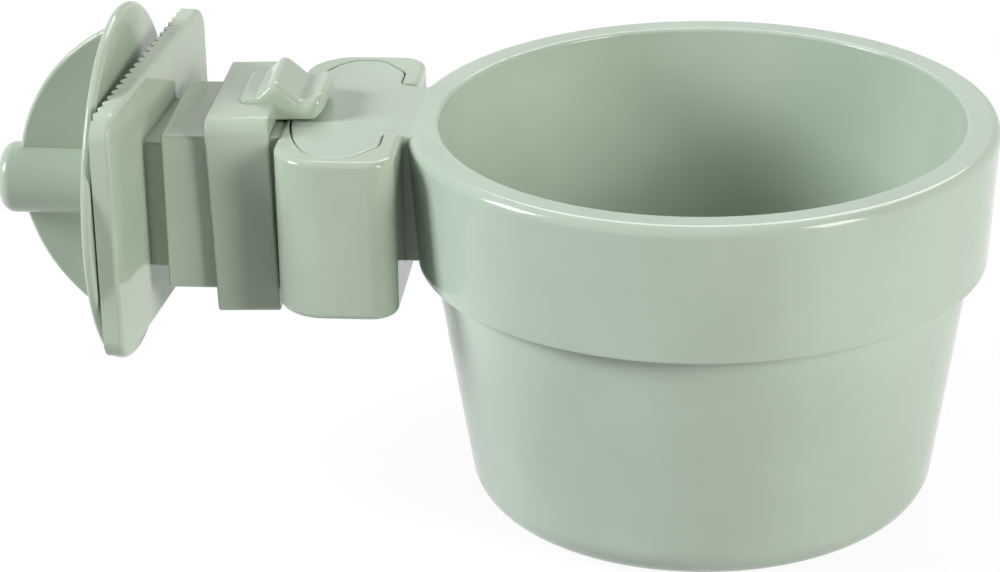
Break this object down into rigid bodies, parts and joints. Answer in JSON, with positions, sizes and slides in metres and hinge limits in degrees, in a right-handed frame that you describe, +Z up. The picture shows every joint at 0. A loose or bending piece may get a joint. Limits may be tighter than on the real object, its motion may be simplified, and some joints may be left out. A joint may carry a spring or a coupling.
{
  "type": "small animal food bowl",
  "caption": "Plastic food bowl that locks into a bracket, clamped to cage wires by a toothed plate and a wing knob.",
  "frame": {"origin": "centre of the bowl's base", "axes": "+Z up out of the bowl, -X along the bracket's arm towards the cage wires, +Y across the arm"},
  "size_m": [0.1916, 0.112, 0.0954],
  "materials": {
    "bowl_plastic": "gloss",
    "clamp_plastic": "gloss"
  },
  "bodies": {
    "bracket": {"bracket": "clamp_plastic"},
    "bowl": {"bowl": "bowl_plastic"},
    "lock": {"lock_collar": "clamp_plastic", "lock_tongue": "clamp_plastic"},
    "plate": {"clamp_plate": "clamp_plastic"},
    "screw": {"clamp_screw": "clamp_plastic"},
    "knob": {"wing_knob": "clamp_plastic"}
  },
  "joints": [
    {"name": "bowl_lift", "type": "slide", "parent": "bracket", "child": "bowl", "axis": [0, 0, 1], "range_m": [0, 0.03], "deforming": ["lock_tongue"]},
    {"name": "lock_slide", "type": "slide", "parent": "bracket", "child": "lock", "axis": [-1, 0, 0], "range_m": [0, 0.0085]},
    {"name": "plate_rock", "type": "hinge", "parent": "bracket", "child": "plate", "pos_m": [-0.0978, 0, 0.0609], "axis": [0, 0, 1], "range_deg": [0, 5.7]},
    {"name": "clamp_travel", "type": "slide", "parent": "bracket", "child": "screw", "axis": [-0.9995, 0.0314, 0], "range_m": [0, 0.00901]},
    {"name": "knob_turn", "type": "hinge", "parent": "screw", "child": "knob", "pos_m": [-0.0852, 0, 0.0609], "axis": [-0.9995, 0.0314, 0], "range_deg": [0, 1080]}
  ],
  "couplings": [
    {"joint": "clamp_travel", "follows": "knob_turn", "m_per_rad": 0.00047746}
  ]
}
